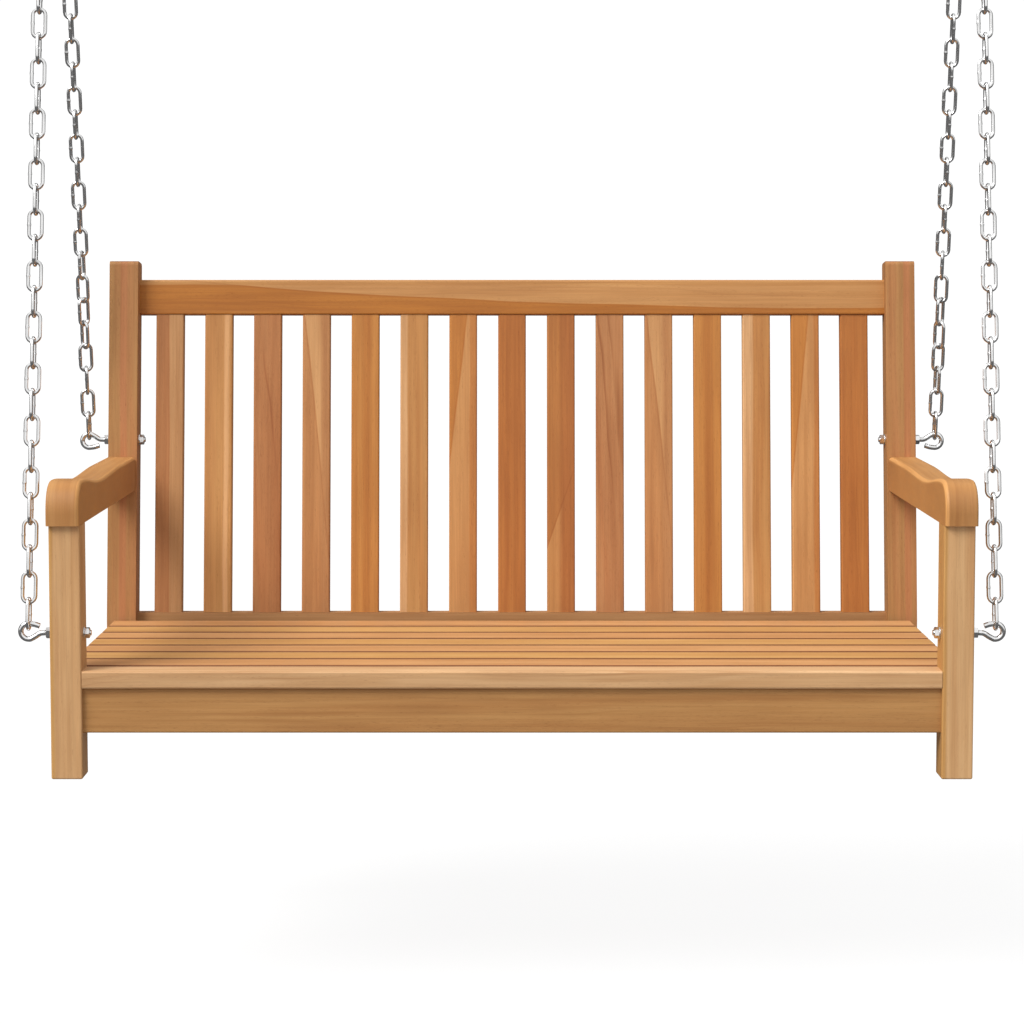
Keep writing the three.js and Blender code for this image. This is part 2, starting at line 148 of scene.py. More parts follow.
def teak_group():
    group = bpy.data.node_groups.new("teak", "ShaderNodeTree")
    for name, kind in (
        ("Place", "Vector"), ("End", "Float"), ("Edge Highlight", "Float"), ("Shade And End Grain", "Float"), ("Seed", "Float"),
        ("Tone A", "Color"), ("Tone B", "Color"), ("Tone C", "Color"), ("Tone D", "Color"),
        ("Pith", "Vector"), ("Ring", "Float"), ("Wedge", "Vector"), ("Strip", "Vector"), ("Figure", "Float"),
    ):
        group.interface.new_socket(name, in_out="INPUT", socket_type=f"NodeSocket{kind}")
    for name, kind in (("Color", "Color"), ("Roughness", "Float"), ("Height", "Float")):
        group.interface.new_socket(name, in_out="OUTPUT", socket_type=f"NodeSocket{kind}")
    t = Tree(group)
    given = t.add("NodeGroupInput").outputs
    seed = given["Seed"]
    x, y, z = t.split(given["Place"])

    def stretched(along, across, offset=0.0, detail=2.0, roughness=0.5):
        place = t.vector("MULTIPLY", given["Place"], (along, across, across))
        return t.noise(place, t.math("ADD", seed, offset), detail, roughness)

    # growth rings round a pith that runs at a slight angle to the board
    drift = t.math("SUBTRACT", stretched(0.0045, 0.012, 1.3), 0.5)
    slope, pith_across, pith_deep = t.split(given["Pith"])
    across = t.math("ADD", t.math("MULTIPLY_ADD", x, slope, y), t.math("MULTIPLY", drift, 30.0))
    radius = t.vector(
        "LENGTH", t.join(0.0, t.math("SUBTRACT", across, pith_across), t.math("SUBTRACT", z, pith_deep))
    )
    spread = t.noise(t.join(t.math("MULTIPLY", radius, 0.05), 0.0, 0.0), t.math("ADD", seed, 7.0), 3.0, 0.6)
    turns = t.math("ADD", t.math("DIVIDE", radius, given["Ring"]), t.math("MULTIPLY", spread, 5.0))
    phase = t.math("FRACT", turns)
    late = t.math("MULTIPLY", t.step(phase, 0.30, 0.86), t.step(phase, 1.0, 0.88))
    ring_place = t.join(t.math("MULTIPLY", radius, 0.13), t.math("MULTIPLY", x, 0.004), 0.0)
    strong = t.step(t.noise(ring_place, t.math("ADD", seed, 3.1), 1.0), 0.44, 0.70)
    ring = t.math("MULTIPLY", t.math("MULTIPLY", late, strong), given["Figure"])

    # tone: broad bands that follow the rings, a wedge where the saw crossed into other wood, and a
    # strip along one side
    band_place = t.join(
        t.math("MULTIPLY", x, 0.0012), t.math("MULTIPLY", radius, 0.055), t.math("MULTIPLY", z, 0.01)
    )
    band = t.step(t.noise(band_place, t.math("ADD", seed, 11.0), 2.0, 0.45), 0.36, 0.64)
    near = t.math("MULTIPLY_ADD", drift, 7.0, y)
    offset, slant, bend = t.split(given["Wedge"])
    edge = t.math("MULTIPLY_ADD", x, slant, t.math("SUBTRACT", near, offset))
    edge = t.math("MULTIPLY_ADD", t.math("MULTIPLY", x, x), bend, edge)
    low, high, soft = t.split(given["Strip"])
    strip = t.math(
        "MULTIPLY",
        t.step(t.math("DIVIDE", t.math("SUBTRACT", near, low), soft), -1.0, 1.0),
        t.step(t.math("DIVIDE", t.math("SUBTRACT", near, high), soft), 1.0, -1.0),
    )
    tone = t.mix(band, given["Tone A"], given["Tone B"])
    tone = t.mix(t.step(edge, -1.1, 1.1), tone, given["Tone C"])
    tone = t.mix(strip, tone, given["Tone D"])
    seam = t.step(t.math("ABSOLUTE", t.math("ADD", edge, 1.2)), 1.8, 0.2)

    # streaks, fibres and pores
    streak = stretched(0.0035, 0.17, 17.0, 3.0, 0.6)
    fibre = stretched(0.014, 0.75, 23.0, 3.0, 0.6)
    fine = stretched(0.07, 3.4, 29.0, 2.0, 0.6)
    pore = t.math("MULTIPLY", t.step(stretched(0.13, 2.2, 31.0, 1.0), 0.60, 0.70), t.step(phase, 0.8, 0.2))
    pore = t.math("MULTIPLY", pore, t.step(given["Figure"], 0.0, 0.2))
    patch = stretched(0.006, 0.03, 37.0, 2.0)
    color = t.mix(
        1.0, tone,
        t.mix(t.step(streak, 0.34, 0.66), (0.92, 0.88, 0.83, 1.0), (1.06, 1.08, 1.10, 1.0)), "MULTIPLY",
    )
    cloudy = t.mix(t.step(patch, 0.3, 0.7), (0.93, 0.90, 0.87, 1.0), (1.05, 1.06, 1.07, 1.0))
    color = t.mix(1.0, color, cloudy, "MULTIPLY")
    shade = t.math("MULTIPLY", t.span(fibre, 0.25, 0.75, 0.93, 1.07), t.span(fine, 0.25, 0.75, 0.96, 1.04))
    color = t.mix(1.0, color, t.join(shade, shade, shade), "MULTIPLY")
    color = t.mix(t.math("MULTIPLY", ring, 0.8), color, (0.74, 0.62, 0.50, 1.0), "MULTIPLY")
    color = t.mix(t.math("MULTIPLY", seam, 0.6), color, (0.84, 0.74, 0.64, 1.0), "MULTIPLY")
    color = t.mix(t.math("MULTIPLY", pore, 0.45), color, (0.50, 0.38, 0.29, 1.0), "MULTIPLY")
    # painted highlight: rounded edges made paler and whiter, as where they catch the light
    color = t.mix(t.math("MULTIPLY", given["Edge Highlight"], 0.5), color, (2.15, 2.45, 2.9, 1.0), "MULTIPLY")
    # painted shade in the gaps beside seat slats and on an armrest's inner face; darker end grain on an
    # armrest's nose
    color = t.mix(given["Shade And End Grain"], color, (0.32, 0.20, 0.12, 1.0), "MULTIPLY")

    # sawn ends drink more oil, so they are darker and show the rings more
    end = t.step(given["End"], 0.75, 0.95)
    dark_end = t.mix(t.math("MULTIPLY", late, 0.5), (0.66, 0.58, 0.50, 1.0), (0.40, 0.31, 0.24, 1.0))
    color = t.mix(end, color, t.mix(1.0, color, dark_end, "MULTIPLY"))

    rough = t.math("ADD", t.span(fibre, 0.2, 0.8, 0.50, 0.62), t.math("MULTIPLY", pore, 0.12))
    rough = t.math("MULTIPLY_ADD", end, 0.12, rough)
    height = t.math("MULTIPLY_ADD", fibre, 0.55, t.math("MULTIPLY", fine, 0.35))
    height = t.math("SUBTRACT", height, t.math("MULTIPLY", pore, 0.5))
    height = t.math("SUBTRACT", height, t.math("MULTIPLY", ring, 0.25))
    t.add("NodeGroupOutput", {"Color": color, "Roughness": rough, "Height": height})
    return group


TEAK = teak_group()

# grain axis -> turn of the object's place that brings the grain to X
UPRIGHT = Matrix.Rotation(RAKE, 3, "X")  # takes the leaning back upright
TO_GRAIN = {
    "x": Matrix.Identity(3),
    "y": Matrix(((0, 1, 0), (1, 0, 0), (0, 0, -1))),
    "z": Matrix(((0, 0, 1), (1, 0, 0), (0, 1, 0))),
}
TO_GRAIN["back_x"] = Matrix(((1, 0, 0), (0, 0, 1), (0, -1, 0))) @ UPRIGHT
TO_GRAIN["back_z"] = TO_GRAIN["z"] @ UPRIGHT
NOWHERE = 900.0  # mm, off every board
NOSE_DULL = 0.24  # how much darker an armrest's nose is


def teak(name, axis, middle, look):
    """A teak material for one board.

    look: tones as sRGB (base, base, wedge, strip); pith (slope, across, deep) and ring, in mm; wedge
    (offset, slant, bend) and strip (low, high, softness), in mm across the board; figure, how strong the
    rings are; worn, how strong the painted highlight on the rounded edges is; seed. gap paints
    shade on the faces that look into the gap beside a slat. flow is for an armrest: it scales the depth in
    the log and leaves out sawn ends, inner is the side, -1 or 1, of its painted edge highlight, and side is
    how much painted shade its inner face gets.
    """
    material = bpy.data.materials.new(f"teak_{name}")
    material.use_nodes = True
    t = Tree(material.node_tree)
    t.tree.nodes.clear()
    turn = TO_GRAIN[axis]
    coord = t.add("ShaderNodeTexCoord").outputs
    place = t.vector("SCALE", t.vector("SUBTRACT", coord["Object"], tuple(middle)))
    place.node.inputs["Scale"].default_value = 1 / MM
    along, across, deep = (t.vector("DOT_PRODUCT", place, tuple(turn[i])) for i in range(3))
    facing = [
        t.math("ABSOLUTE", t.vector("DOT_PRODUCT", coord["Normal"], tuple(turn[i]))) for i in range(2)
    ]
    if "flow" in look:
        deep = t.math("MULTIPLY", deep, look["flow"])
    edge = facing[1]
    if "inner" in look:
        edge = t.vector("DOT_PRODUCT", coord["Normal"], tuple(turn[1] * look["inner"]))
    # the rounding between two faces, neither flat on one nor on the other, gets a painted highlight
    worn = t.math("MULTIPLY", t.step(edge, 0.12, 0.35), t.step(edge, 0.98, 0.85))
    # painted shade on the faces into the gap beside a seat slat and on an armrest's inner face; an armrest's
    # nose gets darker end grain
    shade_and_end_grain = 0.0
    if "gap" in look:
        shade_and_end_grain = t.step(facing[1], 0.15, 0.5)
    elif "flow" in look:
        shade_and_end_grain = t.math("MULTIPLY", t.step(facing[0], 0.4, 1.0), NOSE_DULL)
        shade_and_end_grain = t.math("MAXIMUM", shade_and_end_grain, t.math("MULTIPLY", t.step(edge, 0.85, 0.98), look["side"]))
    tones = list(look["tones"])
    tones += [tones[1]] * (4 - len(tones))
    grain = t.add("ShaderNodeGroup", node_tree=TEAK)
    for key, value in {
        "Place": t.join(along, across, deep),
        "End": 0.0 if "flow" in look else facing[0],
        # painted highlight on the rounded edges, 0.12 unless the board's look gives another amount
        "Edge Highlight": t.math("MULTIPLY", worn, look.get("worn", 0.12)),
        "Shade And End Grain": shade_and_end_grain,
        "Seed": float(look["seed"]),
        "Tone A": linear(tones[0]),
        "Tone B": linear(tones[1]),
        "Tone C": linear(tones[2]),
        "Tone D": linear(tones[3]),
        "Pith": look.get("pith", (0.02, 70.0, -60.0)),
        "Ring": look.get("ring", 8.0),
        "Wedge": look.get("wedge", (NOWHERE, 0.0, 0.0)),
        "Strip": look.get("strip", (NOWHERE, NOWHERE, 1.0)),
        "Figure": look.get("figure", 0.5),
    }.items():
        t.put(grain.inputs[key], value)
    bump = t.add(
        "ShaderNodeBump", {"Strength": 0.35, "Distance": 0.3 * MM, "Height": grain.outputs["Height"]}
    )
    shader = t.add(
        "ShaderNodeBsdfPrincipled",
        {
            "Base Color": grain.outputs["Color"],
            "Roughness": grain.outputs["Roughness"],
            "Normal": bump.outputs[0],
            "IOR": 1.45,
        },
    )
    t.add("ShaderNodeOutputMaterial", {"Surface": shader.outputs[0]})
    return material


# ------------------------------------------------------------------ boards

SMOOTH = math.radians(32)  # edges sharper than this stay sharp
EDGE_SEGMENTS = 4


def finish_mesh(bm, name, body, stands_for, material, weighted=True):
    """Makes a piece of a bmesh: smooth where it is round, riding on a body, in place of CAD nodes."""
    mesh = bpy.data.meshes.new(name)
    bm.to_mesh(mesh)
    bm.free()
    mesh.shade_smooth()
    mesh.set_sharp_from_angle(angle=SMOOTH)
    piece = bpy.data.objects.new(name, mesh)
    scene.collection.objects.link(piece)
    piece.data.materials.append(material)
    if weighted:
        modifier = piece.modifiers.new("flat faces stay flat", "WEIGHTED_NORMAL")
        modifier.keep_sharp = True
    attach(piece, body)
    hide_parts(*stands_for)
    material.name.split("_")[0]


def soften(bm, edges, radius, segments):
    bmesh.ops.bevel(
        bm, geom=edges, offset=radius, segments=segments, profile=0.5, affect="EDGES", clamp_overlap=True
    )


def rounded(name, roundings):
    """A copy of a CAD board as a bmesh with its outer edges rounded.

    roundings: pairs of a test, which takes an edge's direction, middle and two face normals, and a
    radius. Edges of mortises and bolt holes stay sharp: there a face looks at another one of the board.
    """
    bm = bmesh.new()
    bm.from_mesh(nodes[name].data)
    bmesh.ops.remove_doubles(bm, verts=bm.verts, dist=0.005 * MM)
    bmesh.ops.dissolve_limit(bm, angle_limit=math.radians(0.5), verts=bm.verts, edges=bm.edges)
    bm.normal_update()
    for test, radius in roundings:
        solid = BVHTree.FromBMesh(bm)
        chosen = []
        for edge in bm.edges:
            if len(edge.link_faces) != 2 or not edge.is_convex:
                continue
            a, b = (face.normal for face in edge.link_faces)
            too_short = edge.calc_length() < 3 * MM and radius > 3 * MM
            if a.angle(b) < math.radians(40) or too_short:
                continue
            ends = [vert.co for vert in edge.verts]
            middle = (ends[0] + ends[1]) / 2
            if not test((ends[1] - ends[0]).normalized(), middle, a, b):
                continue
            open_a = solid.ray_cast(middle - b * 0.5 * MM + a * 0.02 * MM, a)[0] is None
            open_b = solid.ray_cast(middle - a * 0.5 * MM + b * 0.02 * MM, b)[0] is None
            if open_a and open_b:
                chosen.append(edge)
        soften(bm, chosen, radius, EDGE_SEGMENTS)
        bm.normal_update()
    return bm


def along(axis):
    axis = Vector(axis)
    return lambda direction, middle, a, b: abs(direction.dot(axis)) > 0.999


def rim(direction, middle, a, b):
    """An edge of a board's side faces, which look along X."""
    return max(abs(a.x), abs(b.x)) > 0.99


def anywhere(direction, middle, a, b):
    return True


ALONG_X, ALONG_Y = along((1, 0, 0)), along((0, 1, 0))
UP_BACK = Vector((0, math.sin(RAKE), math.cos(RAKE)))
ALONG_BACK = along(UP_BACK)


def board(name, axis, look, roundings):
    low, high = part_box(name)
    material = teak(name, axis, (low + high) / 2, look)
    finish_mesh(rounded(name, roundings), f"{name}_board", "bench", [name], material)


CATHEDRAL = {"pith": (0.085, 30, -26), "ring": 15.0, "figure": 1.25}
LIGHT_POINT = {"tones": [(188, 129, 82), (194, 134, 86), (207, 153, 104), (188, 131, 86)], "figure": 0.35}
HONEY = {"tones": [(194, 128, 67), (197, 133, 72), (190, 124, 65), (184, 117, 60)], "figure": 0.2}
PALE_SIDE = {"tones": [(196, 141, 87), (190, 130, 77), (188, 128, 75), (212, 161, 115)], "figure": 0.3}
LIGHT_WEDGE = {"tones": [(195, 127, 65), (190, 122, 62), (201, 143, 91), (190, 124, 70)], "figure": 0.3}
RUSSET = {"tones": [(184, 116, 61), (177, 108, 56)], "figure": 0.5, "ring": 6.0}

SLAT_LOOKS = [
    {"tones": [(185, 126, 82), (182, 122, 79), (190, 139, 95)], "wedge": (0.0, 0.004, 0.0)},
    {"tones": [(197, 141, 87), (190, 131, 80), (190, 131, 80), (216, 161, 112)], "strip": (9.0, 16.0, 1.5)},
    {"tones": [(185, 128, 84), (178, 115, 72)], **CATHEDRAL, "figure": 1.6},
    {**LIGHT_POINT, "wedge": (7.0, 0.105, 0.0), "strip": (7.0, 40.0, 4.0)},
    {**HONEY, "strip": (-4.0, 8.0, 4.0)},
    {**PALE_SIDE, "strip": (-40.0, -9.0, 1.6)},
    {**LIGHT_WEDGE, "wedge": (-19.0, -0.115, 0.0), "strip": (10.0, 40.0, 1.5)},
    RUSSET,
    {"tones": [(180, 116, 65), (176, 112, 61), (193, 134, 82), (174, 107, 59)], "wedge": (25.0, -0.35, 0.0),
     "strip": (0.0, 40.0, 6.0)},
    {"tones": [(187, 129, 86), (180, 118, 76)], **CATHEDRAL},
    {**LIGHT_POINT, "wedge": (8.0, 0.11, 0.0), "strip": (6.0, 40.0, 4.0)},
    {**HONEY, "strip": (-6.0, 6.0, 4.0)},
    {**PALE_SIDE, "strip": (-40.0, -6.0, 1.6)},
    {**LIGHT_WEDGE, "wedge": (-17.0, -0.10, 0.0), "strip": (12.0, 40.0, 1.5)},
    RUSSET,
]

HONEY_SEAT = {"tones": [(217, 164, 104), (210, 154, 95)], "figure": 0.3}
PEACH_SEAT = {"tones": [(219, 162, 111), (210, 151, 100)], "figure": 0.3}

SEAT_LOOKS = [
    # front slat: tone D, from the front rounding back, paints the top face lighter than the front face, a
    # painted light; its rounded front edge gets a stronger painted highlight
    {"tones": [(210, 165, 123), (203, 155, 111), (203, 155, 111), (227, 180, 136)],
     "strip": (-19.5, 60.0, 1.0), "pith": (0.03, 30, -40), "ring": 9.0, "figure": 1.0, "worn": 0.25},
    PEACH_SEAT, HONEY_SEAT, PEACH_SEAT, HONEY_SEAT, PEACH_SEAT, HONEY_SEAT, PEACH_SEAT,
]

ROUND, SLAT_ROUND, FRONT_SLAT_ROUND = 2.5 * MM, 2.0 * MM, 3 * MM

for i, look in enumerate(SLAT_LOOKS):
    board(f"back_slat_{i + 1}", "back_z", {"seed": 3.7 * (i + 1), **look}, [(ALONG_BACK, ROUND)])

for i, look in enumerate(SEAT_LOOKS):
    look = {"seed": 61 + 4.3 * i, **look}
    if i:
        # gap: painted shade on the front and back faces, and their roundings, between the slats
        board(f"seat_slat_{i + 1}", "x", {"gap": True, "worn": 0.0, **look}, [(anywhere, SLAT_ROUND)])
    else:
        board(f"seat_slat_{i + 1}", "x", look, [(ALONG_X, FRONT_SLAT_ROUND)])

board(
    "top_rail", "back_x",
    {"seed": 101, "tones": [(183, 116, 53), (178, 111, 50), (198, 143, 91), (196, 140, 86)],
     "wedge": (-6.5, 0.042, -4.4e-5), "strip": (17.5, 60.0, 1.2), "worn": 0.0, "figure": 0.4},
    [
        (lambda d, m, a, b: abs(d.x) > 0.999 and max(a.z, b.z) > 0.9, 3.8 * MM),
        (lambda d, m, a, b: abs(d.x) > 0.999 and min(a.z, b.z) < -0.9, 2.2 * MM),
    ],
)
board(
    "rear_rail", "x",
    {"seed": 107, "tones": [(190, 138, 94), (182, 130, 87)], "worn": 0.0, "figure": 0.3},
    [(ALONG_X, 1.0 * MM)],
)
board(
    "apron", "x",
    {"seed": 113, "tones": [(187, 136, 85), (179, 126, 77)], "pith": (0.02, 40, -60), "ring": 9.0,
     "worn": 0.1},
    [(ALONG_X, ROUND)],
)
board("centre_support", "y", {"seed": 127, "tones": [(184, 134, 88), (172, 120, 76)]}, [(ALONG_Y, ROUND)])

for name, side in SIDES:
    k = 1.7 * side
    board(
        f"front_leg_{name}", "z",
        {"seed": 131 + k, "tones": [(212, 166, 121), (206, 156, 110), (206, 156, 110), (200, 149, 92)],
         "strip": (-25.0, -15.0, 2.0), "worn": 0.1, "figure": 0.12},
        [(lambda d, m, a, b: abs(d.z) > 0.999 or min(a.z, b.z) < -0.9, ROUND)],
    )
    board(
        f"back_post_{name}", "back_z",
        {"seed": 139 + k, "tones": [(184, 126, 81), (180, 130, 82), (186, 124, 80), (187, 123, 81)],
         "strip": (4.0 * side, 10.0 + 4.0 * side, 2.0), "worn": 0.1, "figure": 0.3},
        [(rim, ROUND)],
    )
    board(
        f"side_rail_{name}", "y", {"seed": 149 + k, "tones": [(190, 138, 90), (176, 122, 76)]},
        [(ALONG_Y, ROUND)],
    )


# ------------------------------------------------------------------ armrests


def bezier(a, b, c, d, count):
    """Points of a cubic curve after its first one."""
    out = []
    for i in range(1, count + 1):
        s = i / count
        out.append(a * (1 - s) ** 3 + b * 3 * s * (1 - s) ** 2 + c * 3 * s**2 * (1 - s) + d * s**3)
    return out


# bench mm: nose, underside, top at the rear, top of the front swell
ARM_FRONT, ARM_UNDER, ARM_REAR, ARM_CREST = -7.0, 332.0, 381.0, 389.0
ARM_INNER_ROUND, ARM_OUTER_ROUND = 6.5, 3.5


def armrest(name, side):
    """The arm's side outline, drawn finely and given soft edges. Outline points are bench mm."""
    node = f"armrest_{name}"
    low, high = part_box(node)
    # from the bench's own frame to the part's
    shift = Vector((0, low.y - ARM_FRONT * MM, low.z - ARM_UNDER * MM))

    def at(y, z):
        return Vector((0, y * MM, z * MM)) + shift

    rear_low = (high.y - shift.y) / MM - (ARM_REAR - ARM_UNDER) * math.tan(RAKE)
    rear_high = (high.y - shift.y) / MM
    points = [at(ARM_FRONT, ARM_UNDER), at(rear_low, ARM_UNDER), at(rear_high, ARM_REAR), at(370, ARM_REAR)]
    points += bezier(at(370, ARM_REAR), at(300, ARM_REAR), at(250, 376), at(190, 377), 22)
    points += bezier(at(190, 377), at(130, 378), at(90, ARM_CREST), at(34, ARM_CREST), 20)
    points += bezier(at(34, ARM_CREST), at(8, ARM_CREST), at(ARM_FRONT, 372), at(ARM_FRONT, 347), 18)
    bm = bmesh.new()
    rings = []
    for x in (low.x, high.x):
        rings.append([bm.verts.new((x, p.y, p.z)) for p in points])
    faces = [bm.faces.new(rings[0]), bm.faces.new(rings[1])]
    count = len(points)
    for i in range(count):
        j = (i + 1) % count
        faces.append(bm.faces.new((rings[0][i], rings[0][j], rings[1][j], rings[1][i])))
    bmesh.ops.recalc_face_normals(bm, faces=faces)
    back, bottom = high.y - 8 * MM, low.z + 0.01 * MM
    inner = high.x if side < 0 else low.x
    for wide, x in ((ARM_INNER_ROUND, inner), (ARM_OUTER_ROUND, low.x + high.x - inner)):
        chosen = [
            e for e in bm.edges
            if all(abs(v.co.x - x) < 1e-6 for v in e.verts)
            and not all(v.co.y > back for v in e.verts)
            and not all(v.co.z < bottom for v in e.verts)
        ]
        soften(bm, chosen, wide * MM, 6)
    # painted highlight on the inner rounded edge; side sets the painted shade on the inner face
    material = teak(
        node, "y", (low + high) / 2,
        {"seed": 163 + 1.7 * side, "tones": [(198, 142, 88), (190, 132, 78)], "figure": 0.0, "flow": 0.05,
         "worn": 0.6, "inner": -side, "side": 0.12},
    )
    finish_mesh(bm, f"{node}_board", "bench", [node], material)


for name, side in SIDES:
    armrest(name, side)


# ------------------------------------------------------------------ zinc


def zinc(name, tint, rough):
    """Zinc-plated steel: cloudy tarnish and a little sparkle of the crystals."""
    material = bpy.data.materials.new(name)
    material.use_nodes = True
    t = Tree(material.node_tree)
    t.tree.nodes.clear()
    place = t.vector("SCALE", t.add("ShaderNodeTexCoord").outputs["Object"])
    place.node.inputs["Scale"].default_value = 1 / MM
    cloud = t.noise(t.vector("MULTIPLY", place, (0.07, 0.07, 0.05)), 2.0, 3.0)
    speck = t.noise(t.vector("MULTIPLY", place, (0.9, 0.9, 0.9)), 5.0, 3.0, 0.6)
    color = t.mix(t.step(cloud, 0.35, 0.65), (*tint, 1.0), (*(0.86 * part for part in tint), 1.0))
    color = t.mix(t.span(speck, 0.3, 0.7, 0.0, 0.18), color, (0.50, 0.49, 0.47, 1.0))
    roughness = t.math(
        "ADD", t.span(cloud, 0.3, 0.7, rough[0], rough[1]), t.span(speck, 0.3, 0.7, -0.03, 0.05)
    )
    bump = t.add("ShaderNodeBump", {"Strength": 0.25, "Distance": 0.08 * MM, "Height": speck})
    shader = t.add(
        "ShaderNodeBsdfPrincipled",
        {"Base Color": color, "Roughness": roughness, "Metallic": 1.0, "Normal": bump.outputs[0]},
    )
    t.add("ShaderNodeOutputMaterial", {"Surface": shader.outputs[0]})
    return material


CHAIN_ZINC = zinc("zinc_chain", (0.80, 0.80, 0.80), (0.16, 0.26))
BOLT_ZINC = zinc("zinc_bolts", (0.84, 0.84, 0.84), (0.13, 0.22))
PLATE_ZINC = zinc("zinc_brackets", (0.80, 0.81, 0.82), (0.24, 0.38))

# steel sizes in mm, as in the CAD part
WIRE, PITCH, INNER = 5.0, 34.5, 12.0
ROD = 7.2
EYE_RADIUS, EYE_RISE, EYE_BEND, EYE_OFFSET = 10.2, 1.8, 15.0, 31.0
HANG = 0.8  # gap between a link and what it hangs in
FRONT_LINKS, REAR_LINKS, TWISTED = 44, 36, 9
QUICK_WIRE, QUICK_PITCH, QUICK_INNER, QUICK_FLATS, QUICK_SLEEVE = 6.0, 50.0, 14.0, 10.0, 18.0
RING_RADIUS, RING_WIRE = 29.0, 8.0
ROD_SIDES = 20


def sweep(bm, centres, normals, binormals, radii, closed, sides, place=Matrix.Identity(4)):
    """A tube through centres; each section lies in its own normal and binormal. Caps an open end."""
    rings = []
    for c, n, b, r in zip(centres, normals, binormals, radii):
        ring = []
        for k in range(sides):
            a = 2 * math.pi * k / sides
            rr = r(a) if callable(r) else r
            ring.append(bm.verts.new(place @ (c + n * (rr * math.cos(a)) + b * (rr * math.sin(a)))))
        rings.append(ring)
    pairs = list(zip(rings, rings[1:])) + ([(rings[-1], rings[0])] if closed else [])
    for a, b in pairs:
        for k in range(sides):
            m = (k + 1) % sides
            bm.faces.new((a[k], a[m], b[m], b[k]))
    if not closed:
        bm.faces.new(list(reversed(rings[0])))
        bm.faces.new(rings[-1])


def oval(bm, wire, pitch, inner, place, sides=10, turns=9, weld=0.0):
    """A long link standing in XZ, mm scaled to m, with a weld swelling halfway up its +X side."""
    half, bend = (inner + wire) / 2, (pitch + wire) / 2 - (inner + wire) / 2
    stations = []
    straight = [-bend, -bend * 0.45, -2.2, -1.3, 0.0, 1.3, 2.2, bend * 0.45]
    for z in straight:
        swell = weld * math.exp(-((z / 1.5) ** 2)) if weld else 0.0
        stations.append((Vector((half, 0, z)), Vector((1, 0, 0)), wire / 2 + swell))
    for i in range(turns + 1):
        a = math.pi * i / turns
        out = Vector((math.cos(a), 0, math.sin(a)))
        stations.append((out * half + Vector((0, 0, bend)), out, wire / 2))
    stations.append((Vector((-half, 0, 0)), Vector((-1, 0, 0)), wire / 2))
    for i in range(turns):
        a = math.pi + math.pi * i / turns
        out = Vector((math.cos(a), 0, math.sin(a)))
        stations.append((out * half + Vector((0, 0, -bend)), out, wire / 2))
    centres = [s[0] * MM for s in stations]
    normals = [s[1] for s in stations]
    side = Vector((0, 1, 0))
    sweep(bm, centres, normals, [side] * len(stations), [s[2] * MM for s in stations], True, sides, place)


def steel(bm, name, body, node, material, weighted=False):
    """Makes a piece in place of one CAD node, with its faces turned outward."""
    bmesh.ops.recalc_face_normals(bm, faces=bm.faces)
    finish_mesh(bm, name, body, [node], material, weighted)


def centre(node):
    low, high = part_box(node)
    return (low + high) / 2


# the ring of each side, the bolts' axes in the wood, and the wood's outer face
apex = {name: centre(f"ring_{name}") for name, _ in SIDES}
BOLTS = {end: Vector((0, *centre(f"inner_nut_{end}_left").yz)) for end in ("front", "rear")}
WOOD_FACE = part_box("front_leg_right")[1].x
EYE_X = WOOD_FACE + EYE_OFFSET * MM
TURN = {"front": 1, "rear": -1}  # the side of the shank on which an eye opens


def hold(end, side):
    """The top of an eye, where its chain hangs."""
    return BOLTS[end] + Vector((side * EYE_X, 0, (TURN[end] * EYE_RISE + EYE_RADIUS) * MM))


def smoothstep(value, low, high):
    s = min(max((value - low) / (high - low), 0.0), 1.0)
    return s * s * (3 - 2 * s)


def hanging(end, name, side):
    """The matrix that takes a hanger drawn along +Z from an eye's rod to its line up to the ring."""
    start = hold(end, side)
    rise = (apex[name] - start).normalized()
    return Matrix.Translation(start) @ Vector((0, 0, 1)).rotation_difference(rise).to_matrix().to_4x4()


for name, side in SIDES:
    hanger = f"{name}_hanger"
    for end, links, twist in (("front", FRONT_LINKS, 0.0), ("rear", REAR_LINKS, math.pi / 2)):
        line = hanging(end, name, side)
        bm = bmesh.new()
        first = (PITCH - ROD) / 2 - HANG
        for i in range(links):
            turn = (i + 1) * math.pi / 2 + twist * smoothstep(i, 0, TWISTED)
            # welds alternate from side to side, as the links came off the machine
            turn += math.pi * ((i // 2) % 2)
            place = line @ Matrix.Translation((0, 0, (first + i * PITCH) * MM))
            place = place @ Matrix.Rotation(turn, 4, "Z")
            oval(bm, WIRE, PITCH, INNER, place, weld=0.45)
        steel(bm, f"chain_links_{end}_{name}", hanger, f"chain_{end}_{name}", CHAIN_ZINC)


# ------------------------------------------------------------------ threads, nuts and fittings


def thread_radius(outer, pitch, depth):
    """The radius of a thread at a distance along it and a turn round it."""
    def radius(distance, angle):
        phase = (distance / pitch - angle / (2 * math.pi)) % 1.0
        return outer - depth * (1 - abs(2 * phase - 1)) ** 0.8
    return radius


def hexagon(flats, angle):
    """Distance from the middle of a hexagon nut to its side at an angle."""
    a = (angle + math.pi / 6) % (math.pi / 3) - math.pi / 6
    return flats / 2 / math.cos(a)


